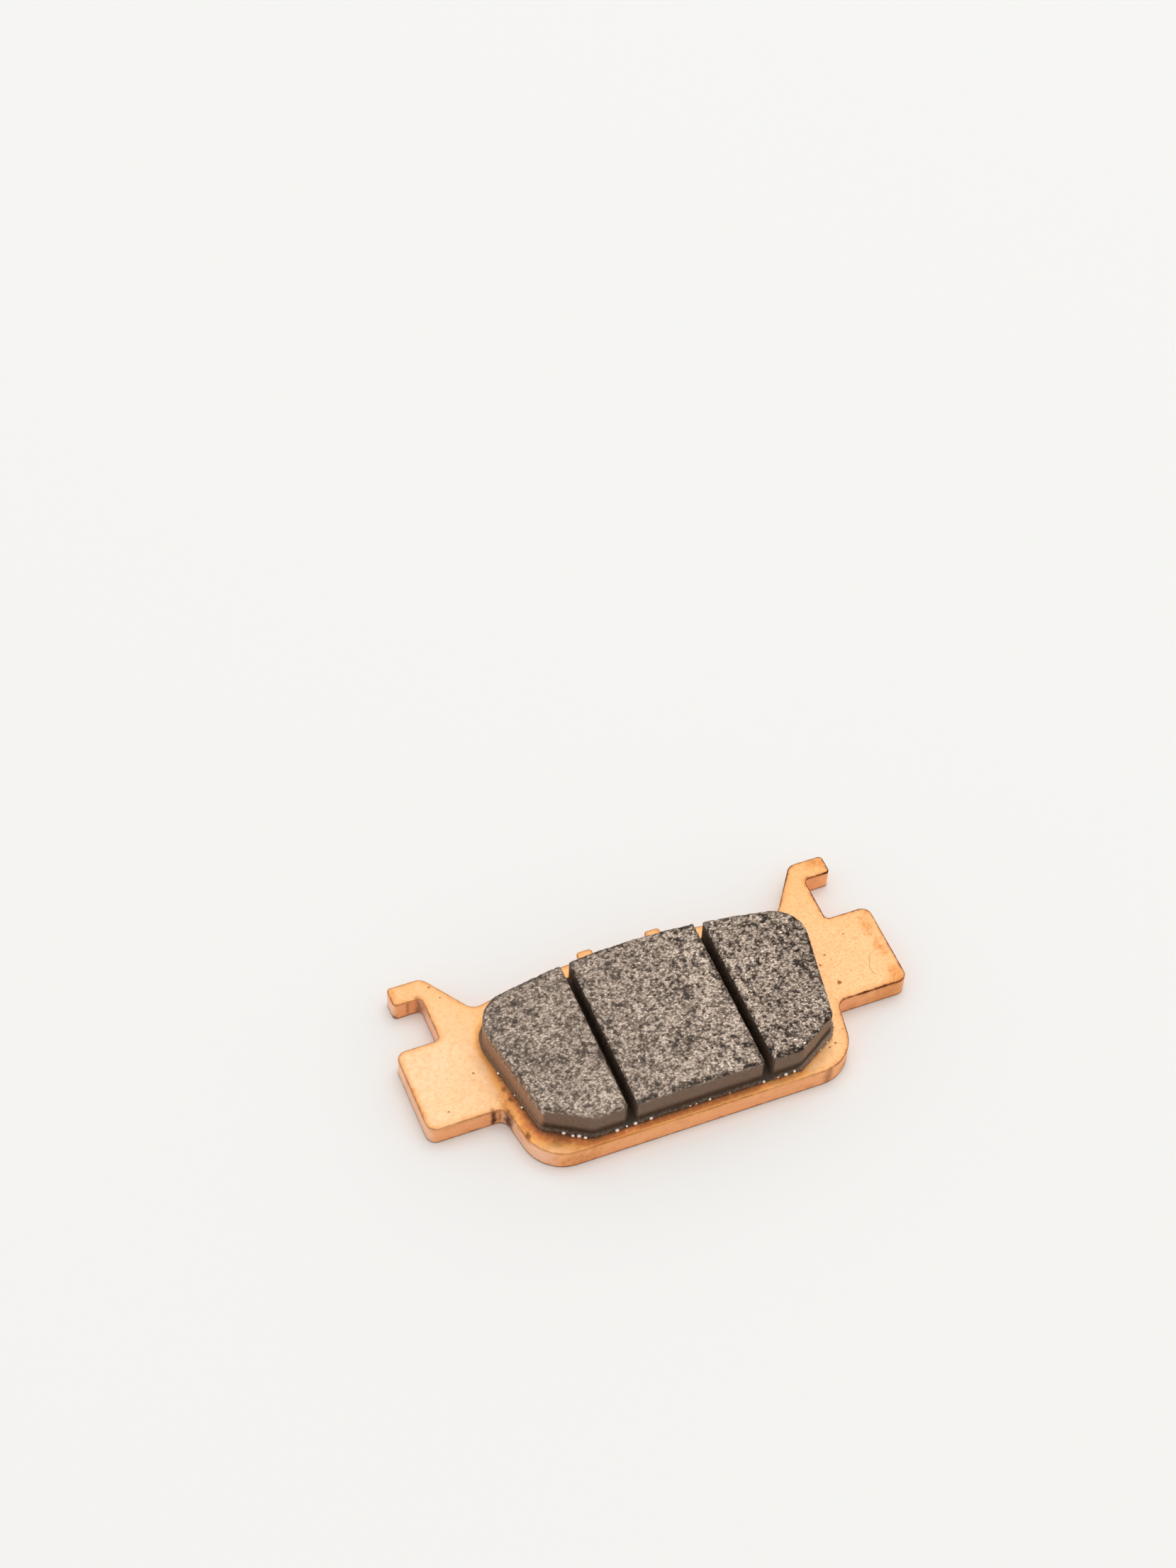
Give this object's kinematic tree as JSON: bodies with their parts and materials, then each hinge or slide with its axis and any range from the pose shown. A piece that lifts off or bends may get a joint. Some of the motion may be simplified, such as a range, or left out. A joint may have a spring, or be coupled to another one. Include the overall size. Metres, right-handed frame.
{
  "type": "sintered disc brake pad",
  "caption": "Flat brake pad: a copper-faced steel plate with side tabs and hooked ears carries a grooved sintered friction block.",
  "frame": {"origin": "under the middle of the outline, on the plate's back face, which the part rests on", "axes": "+X from tab to tab, +Y from the straight front edge to the hooked ears, +Z out of the friction face towards the disc"},
  "size_m": [0.097, 0.0462, 0.0111],
  "materials": {
    "coppered_steel": "thin satin copper coat on steel",
    "sintered_metal": "coarse sintered grain, dull with metallic specks"
  },
  "bodies": {
    "root": {"backing_plate": "coppered_steel", "friction_block": "sintered_metal"}
  },
  "joints": []
}
